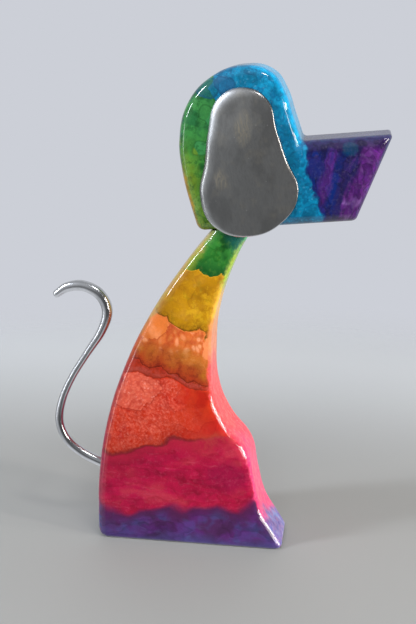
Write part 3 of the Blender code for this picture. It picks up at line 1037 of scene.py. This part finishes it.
# Pieces
class FIGURINE_OT_body(bpy.types.Operator):
    """Make the painted body, with the hole for the tail"""

    bl_idname = "figurine.body"
    bl_label = "Body"

    def execute(self, context):
        sizes = context.scene.figurine_boards

        def width(low, high):
            on_base = max(low.y, high.y) < NEAR
            return sizes.base_edge if on_base else sizes.face_edge

        widest = sizes.face_edge * 1.2    # the corners at the base need a little more
        chin = Vector((CHIN_X, 0.0, CHIN_Z - GAP)) * MM
        way = Vector((-sin(CHIN_TILT), 0.0, cos(CHIN_TILT)))
        piece = board("body", BODY_OUTLINE, width, widest, sizes, (chin, way))
        self.drill(piece)
        smooth(piece)
        dress(piece, "body", body_ink(context.scene.figurine_inks))
        return {"FINISHED"}

    def drill(self, piece):
        """Cut the blind hole for the tail."""
        bpy.ops.mesh.primitive_cylinder_add(
            vertices=TAIL_HOLE_SIDES,
            radius=(TAIL_ROOT_RADIUS + GAP) * MM,
            depth=2 * TAIL_HOLE_DEPTH * MM,
        )
        cutter = bpy.context.object
        cutter.location = Vector((TAIL_ROOT[0], 0.0, TAIL_ROOT[1])) * MM
        cutter.rotation_euler = tail_direction().to_track_quat("Z", "Y").to_euler()
        cut = piece.modifiers.new("tail hole", "BOOLEAN")
        cut.operation = "DIFFERENCE"
        cut.solver = "EXACT"
        cut.object = cutter
        mesh = plain_mesh(piece, "body_board")
        piece.modifiers.remove(cut)
        piece.data = mesh
        bpy.data.objects.remove(cutter)


class FIGURINE_OT_head(bpy.types.Operator):
    """Make the painted head"""

    bl_idname = "figurine.head"
    bl_label = "Head"

    def execute(self, context):
        sizes = context.scene.figurine_boards
        piece = board(
            "head", HEAD_OUTLINE, lambda low, high: sizes.face_edge, sizes.face_edge, sizes
        )
        smooth(piece)
        dress(piece, "head", head_ink(context.scene.figurine_inks))
        return {"FINISHED"}


# An ear's rim is rounded most on one side: the way there, then the least share of
# the rounding, its middle share and its swing round the outline
EAR_BROADSIDE = Vector((-0.8, 0.6))
EAR_LEAST, EAR_MIDDLE, EAR_SWING = 0.18, 0.7, 0.72
EAR_BACK_EDGE = 0.8 * MM    # rounding along the flat back
EAR_SWELL, EAR_SWELL_SIZE = 0.25 * MM, 24 * MM      # unevenness of the cast face
EAR_STEPS = 18


class FIGURINE_OT_ears(bpy.types.Operator):
    """Make the two cast aluminium ears"""

    bl_idname = "figurine.ears"
    bl_label = "Ears"

    def execute(self, context):
        metal = ear_metal(context.scene.figurine_metals)
        sizes = context.scene.figurine_ears
        for name, side in (("ear_right", -1), ("ear_left", 1)):
            mesh = self.casting(name, side, sizes)
            fit(mesh, name, (1,))
            mesh.shade_smooth()
            dress(new_object(name + "_casting", mesh), name, metal)
        return {"FINISHED"}

    def outline(self, name):
        """Points round the ear's edge, with the way out at each."""
        mesh = outline_mesh(name, EAR_OUTLINE, EAR_STEPS)
        points = [vert.co.xy for vert in mesh.vertices]
        ways = []
        for index, point in enumerate(points):
            along = points[(index + 1) % len(points)] - points[index - 1]
            ways.append(Vector((along.y, -along.x)).normalized())
        middle = sum(points, Vector((0.0, 0.0))) / len(points)
        if ways[0].dot(points[0] - middle) < 0:
            ways = [-way for way in ways]
        return points, ways, middle

    def rings(self, sizes, thick):
        """Rings from the flat back, round the rim and in to the middle.

        Each is its way in from the outline, its fall below the face, its height
        over the back, its share of the way to the middle, and its polish, which
        also places the rim's painted highlights and painted shade.
        """
        face = thick - sizes.dome
        back, round_rim, inner = 4, 14, 16    # steps over each stretch
        for step in range(back + 1):
            turn = pi / 2 * step / back
            inset, up = (EAR_BACK_EDGE * (1 - part) for part in (sin(turn), cos(turn)))
            yield inset, 0, up, 0, 1
        for step in range(round_rim + 1):
            turn = pi / 2 * step / round_rim
            inset, fall = sizes.rim * (1 - cos(turn)), sizes.fall * (1 - sin(turn))
            yield inset, fall, face, 0, cos(turn) ** 2
        for step in range(1, inner):
            share = step / inner
            yield sizes.rim, 0, face + sizes.dome * (1 - (1 - share) ** 2), share, 0

    def casting(self, name, side, sizes):
        """The ear's mesh, on one side of the head."""
        low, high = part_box(name)
        thick = high[1] - low[1]
        points, ways, middle = self.outline(name)
        bm = bmesh.new()
        rim_polish_and_glint = bm.verts.layers.float.new("rim")
        loops = []
        for inset, fall, height, share, shine in self.rings(sizes, thick):
            in_front = height > EAR_BACK_EDGE
            loop = []
            for point, way in zip(points, ways):
                ease = EAR_MIDDLE + EAR_SWING * way.dot(EAR_BROADSIDE)
                ease = max(EAR_LEAST, ease) if in_front else 1
                spot = (point - way * inset * ease).lerp(middle, share)
                swell = noise.noise(Vector((*spot, side)) / EAR_SWELL_SIZE) * EAR_SWELL
                lift = height - fall * ease + swell * (1 - shine) * in_front
                vert = bm.verts.new((spot.x, side * lift, spot.y))
                vert[rim_polish_and_glint] = shine
                loop.append(vert)
            loops.append(loop)
        pairs = [(index, (index + 1) % len(points)) for index in range(len(points))]
        for first, second in zip(loops, loops[1:]):
            for index, after in pairs:
                bm.faces.new((first[index], first[after], second[after], second[index]))
        bm.faces.new(loops[0])
        crown = bm.verts.new((middle.x, side * thick, middle.y))
        for index, after in pairs:
            bm.faces.new((loops[-1][index], loops[-1][after], crown))
        bmesh.ops.recalc_face_normals(bm, faces=bm.faces)
        mesh = bpy.data.meshes.new(name)
        bm.to_mesh(mesh)
        bm.free()
        return mesh


def tail_direction():
    """Direction of the rod's straight end, into the body."""
    return Vector((cos(TAIL_TILT), 0.0, sin(TAIL_TILT)))


def smooth_route(knots, steps):
    """Points on a smooth curve through the knots, by Catmull-Rom."""
    points = []
    padded = [knots[0] * 2 - knots[1]] + knots + [knots[-1] * 2 - knots[-2]]
    for a, b, c, d in zip(padded, padded[1:], padded[2:], padded[3:]):
        for step in range(steps):
            t = step / steps
            points.append(
                0.5 * (2 * b + (c - a) * t
                       + (2 * a - 5 * b + 4 * c - d) * t ** 2
                       + (3 * b - a - 3 * c + d) * t ** 3)
            )
    return points + [knots[-1]]


def rod_tree(material, inputs):
    """Geometry nodes that sweep a round rod along a curve with radii."""
    tree = bpy.data.node_groups.new("rod along a route", "GeometryNodeTree")
    tree.is_modifier = True
    face = tree.interface
    for way in ("INPUT", "OUTPUT"):
        face.new_socket("Geometry", in_out=way, socket_type="NodeSocketGeometry")
    for name, value in inputs.items():
        kind = "NodeSocketInt" if isinstance(value, int) else "NodeSocketFloat"
        face.new_socket(name, in_out="INPUT", socket_type=kind).default_value = value
    nodes = Nodes(tree)
    route, gauge, sides, step = (
        nodes.add("NodeGroupInput", output=name) for name in ("Geometry", *inputs)
    )
    sockets = {"Curve": route, "Length": step}
    route = nodes.add("GeometryNodeResampleCurve", {"mode": "LENGTH"}, sockets)
    sockets = {"Resolution": sides, "Radius": MM}
    sockets = {
        "Curve": route,
        "Profile Curve": nodes.add("GeometryNodeCurvePrimitiveCircle", None, sockets),
        "Scale": nodes.add("GeometryNodeInputRadius") * gauge,
        "Fill Caps": True,
    }
    rod = nodes.add("GeometryNodeCurveToMesh", None, sockets)
    rod = nodes.add("GeometryNodeSetShadeSmooth", None, {"Geometry": rod})
    rod = nodes.add("GeometryNodeRealizeInstances", None, {"Geometry": rod})
    sockets = {"Geometry": rod, "Material": material}
    rod = nodes.add("GeometryNodeSetMaterial", None, sockets)
    nodes.add("NodeGroupOutput", None, {0: rod})
    return tree


class FIGURINE_OT_tail(bpy.types.Operator):
    """Make the bent aluminium tail"""

    bl_idname = "figurine.tail"
    bl_label = "Tail"

    def execute(self, context):
        sizes = context.scene.figurine_tail
        metal = tail_metal(context.scene.figurine_metals)
        holder = new_object("tail route", self.route())
        sweep = holder.modifiers.new("rod", "NODES")
        wanted = {"Gauge": sizes.gauge, "Sides": sizes.sides, "Step": sizes.step}
        sweep.node_group = rod_tree(metal, wanted)
        for item in sweep.node_group.interface.items_tree:
            if item.name in wanted:
                sweep[item.identifier] = wanted[item.name]
        mesh = plain_mesh(holder, "tail", used=True)
        edit(mesh, seal)
        fit(mesh, "tail", (0,))
        mesh.shade_smooth()
        mesh.set_sharp_from_angle(angle=TAIL_CREASE)
        dress(new_object("tail_rod", mesh), "tail", metal)
        return {"FINISHED"}

    def route(self):
        """The rod's route from its round tip to its buried end."""
        root = Vector((*TAIL_ROOT, TAIL_ROOT_RADIUS))
        into = Vector((tail_direction().x, tail_direction().z, 0.0))
        knots = [Vector(knot) for knot in TAIL_ROUTE]
        knots += [root, root + into * (TAIL_HOLE_DEPTH - 2 * GAP)]
        out = (knots[0] - knots[1]).xy.normalized()
        radius = knots[0].z
        # The round tip narrows to almost nothing, in steps of 11 degrees
        nose = []
        for degrees in range(88, 0, -11):
            turn = radians(degrees)
            centre = knots[0].xy + out * radius * sin(turn)
            nose.append(Vector((*centre, radius * cos(turn))))
        points = nose + smooth_route(knots, TAIL_STEPS)
        curve = bpy.data.curves.new("tail route", "CURVE")
        curve.dimensions = "3D"
        spline = curve.splines.new("POLY")
        spline.points.add(len(points) - 1)
        for place, (x, z, radius) in zip(spline.points, points):
            place.co = (x * MM, 0.0, z * MM, 1.0)
            place.radius = radius
        return curve


# Stage
# The camera's place, and the ways to its right, down and ahead
CAMERA_PLACE = (0.0930, -0.6501, 0.3244)
CAMERA_RIGHT = (0.99088, 0.13407, 0.01385)
CAMERA_DOWN = (0.04807, -0.25558, -0.96559)
CAMERA_AHEAD = (-0.12592, 0.95745, -0.25969)
CAMERA_LENS = 63.46

FLOOR_RADIUS = 0.9
FLOOR_CLEAR = 0.05 * MM    # the floor lies this far under the feet
FLOOR_FADE = (620, 380)    # clear beyond the first and whole within the last, in mm

# The two skies only fill the shade: no polished surface mirrors them
SKIES = ("soft sky", "rear sky")
# name, place, height aimed at over the origin, width, height, watts, colour
LIGHTS = (
    ("window left pane", (1.02, -0.76, 0.3), 0.18, 0.06, 0.55, 3.5, "fff8f0"),
    ("window middle pane", (1.2, -0.43, 0.3), 0.18, 0.08, 0.55, 11, "fff8f0"),
    ("window right pane", (1.26, -0.13, 0.3), 0.18, 0.08, 0.55, 6.5, "fff8f0"),
    ("left window upper pane", (-1.06, -0.5, 1), 0.24, 0.14, 0.36, 9.5, "f0f6ff"),
    ("left window middle pane", (-1.12, -0.49, 0.57), 0.18, 0.09, 0.24, 3, "f0f6ff"),
    ("left window lower pane", (-1.15, -0.48, 0.18), 0.1, 0.07, 0.28, 0.5, "f0f6ff"),
    ("ceiling lamp", (0.51, -0.65, 1.39), 0.2, 0.26, 0.16, 4, "ffffff"),
    (SKIES[0], (0.05, -1.2, 1.2), 0.12, 1.1, 1.1, 16.5, "f8fbff"),
    (SKIES[1], (-0.3, 1.2, 0.9), 0.12, 1.1, 1.1, 8, "f8fbff"),
)


class FIGURINE_OT_stage(bpy.types.Operator):
    """Make the floor, the backdrop, the lights and the camera"""

    bl_idname = "figurine.stage"
    bl_label = "Stage"

    def execute(self, context):
        settings = context.scene.figurine_stage
        self.floor(settings)
        self.backdrop(settings)
        for light in LIGHTS:
            self.lamp(settings.strength, *light)
        self.camera(context.scene)
        context.scene.view_settings.view_transform = "Standard"
        context.scene.view_settings.look = "None"
        return {"FINISHED"}

    def floor(self, settings):
        """A round pale floor that fades away at its rim."""
        mesh = bpy.data.meshes.new("floor")
        edit(mesh, lambda bm: bmesh.ops.create_circle(
            bm, cap_ends=True, segments=96, radius=FLOOR_RADIUS
        ))
        floor = new_object("floor", mesh)
        floor.location.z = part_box("body")[0][2] - FLOOR_CLEAR
        material, f = new_finish("pale floor")
        x, y, _ = f.axes(f.place())
        tone = f.mix(f.grade(y, 60, 400), settings.floor_near, settings.floor_far)
        # Painted shade: the floor is darker towards its right side
        tone = f.mix(f.grade(x, 200, 600) * 0.4, tone, dim(settings.floor_near, 0.4))
        f.shade({
            "Base Color": tone,
            "Roughness": 0.8,
            "Specular IOR Level": 0,
            "Alpha": f.grade((x * x + y * y) ** 0.5, *FLOOR_FADE),
        })
        mesh.materials.append(material)
        floor.visible_glossy = False

    def backdrop(self, settings):
        """A pale backdrop, lit cloth behind, a dim room in front and to the sides."""
        world = bpy.data.worlds.new("studio")
        bpy.context.scene.world = world
        world.use_nodes = True
        f = Finish(world.node_tree)
        x, y, z = f.axes(f.add("ShaderNodeTexCoord", output="Generated"))
        cloth = f.grade(y, -0.1, 0.5) * (f.grade(z, -0.35, 0.1) * 0.1 + 0.44)
        wall = f.grade(z * 0.62 - x * 0.5 - y * 0.6, 0.45, 1) * 0.5
        left = f.grade(-x, 0.55, 0.9) * f.grade(y, 0.2, -0.15) * f.grade(z, 0.7, 0.3) * 0.6
        ceiling = f.grade(z, 0.45, 0.95) * 0.35
        table = f.grade(z, -0.35, -0.8) * 0.7
        bench = f.grade(-x, 0.2, 0.45) * f.grade(y, 0, -0.3) * f.grade(z, -0.08, -0.2) * 0.4
        sill = f.grade((x * 0.42 - y * 0.91).size(), 0.07, 0.03) * f.grade(-x, 0.5, 0.7)
        sill = sill * f.grade(z, 0.08, 0) * f.grade(z, -0.4, -0.2) * 4
        room = cloth.most(wall).most(left).most(ceiling).most(table).most(bench)
        lit = {"Color": (0.95, 0.97, 1, 1), "Strength": 0.08 + sill + room}
        shown = {"Color": (*settings.backdrop, 1)}
        sockets = {
            0: f.add("ShaderNodeLightPath", output="Is Camera Ray"),
            1: f.add("ShaderNodeBackground", None, lit),
            2: f.add("ShaderNodeBackground", None, shown),
        }
        both = f.add("ShaderNodeMixShader", None, sockets)
        f.add("ShaderNodeOutputWorld", None, {"Surface": both})

    def lamp(self, strength, name, place, aim, width, height, watts, code):
        """A rectangular light that the camera doesn't see."""
        light = bpy.data.lights.new(name, "AREA")
        light.shape = "RECTANGLE"
        light.size = width
        light.size_y = height
        light.energy = watts * strength
        light.color = hexed(code)
        lamp = new_object(name, light)
        lamp.location = place
        way = Vector((0, 0, aim)) - Vector(place)
        lamp.rotation_euler = way.to_track_quat("-Z", "Y").to_euler()
        lamp.visible_camera = False
        lamp.visible_glossy = name not in SKIES

    def camera(self, scene):
        """The camera, from its place and the ways that it faces."""
        data = bpy.data.cameras.new("camera")
        data.lens = CAMERA_LENS
        data.sensor_width = 36.0
        data.clip_start = 0.01
        camera = new_object("camera", data)
        turn = Matrix((CAMERA_RIGHT, [-a for a in CAMERA_DOWN], [-a for a in CAMERA_AHEAD]))
        camera.matrix_world = Matrix.Translation(CAMERA_PLACE) @ turn.transposed().to_4x4()
        scene.camera = camera


class FIGURINE_PT_pieces(bpy.types.Panel):
    """Lists the figurine's pieces and their settings"""

    bl_idname = "FIGURINE_PT_pieces"
    bl_label = "Wooden dog figurine"
    bl_space_type = "VIEW_3D"
    bl_region_type = "UI"
    bl_category = "Figurine"

    def draw(self, context):
        for operator in OPERATORS:
            self.layout.operator(operator.bl_idname)
        for name in SETTINGS:
            group = getattr(context.scene, name)
            box = self.layout.box()
            for item in group.bl_rna.properties:
                if item.identifier not in {"rna_type", "name"}:
                    box.prop(group, item.identifier)


OPERATORS = (
    FIGURINE_OT_body,
    FIGURINE_OT_head,
    FIGURINE_OT_ears,
    FIGURINE_OT_tail,
    FIGURINE_OT_stage,
)
SETTINGS = {
    "figurine_boards": BoardSettings,
    "figurine_ears": EarSettings,
    "figurine_tail": TailSettings,
    "figurine_inks": InkColours,
    "figurine_metals": MetalColours,
    "figurine_stage": StageSettings,
}


def register():
    for group in SETTINGS.values():
        bpy.utils.register_class(group)
    for name, group in SETTINGS.items():
        setattr(bpy.types.Scene, name, PointerProperty(type=group))
    for kind in (*OPERATORS, FIGURINE_PT_pieces):
        bpy.utils.register_class(kind)


def unregister():
    for kind in reversed((*OPERATORS, FIGURINE_PT_pieces)):
        bpy.utils.unregister_class(kind)
    for name, group in SETTINGS.items():
        delattr(bpy.types.Scene, name)
        bpy.utils.unregister_class(group)


def main():
    register()
    bpy.ops.figurine.body()
    bpy.ops.figurine.head()
    bpy.ops.figurine.ears()
    bpy.ops.figurine.tail()
    bpy.ops.figurine.stage()
    bpy.context.view_layer.update()


if __name__ == "__main__":
    main()
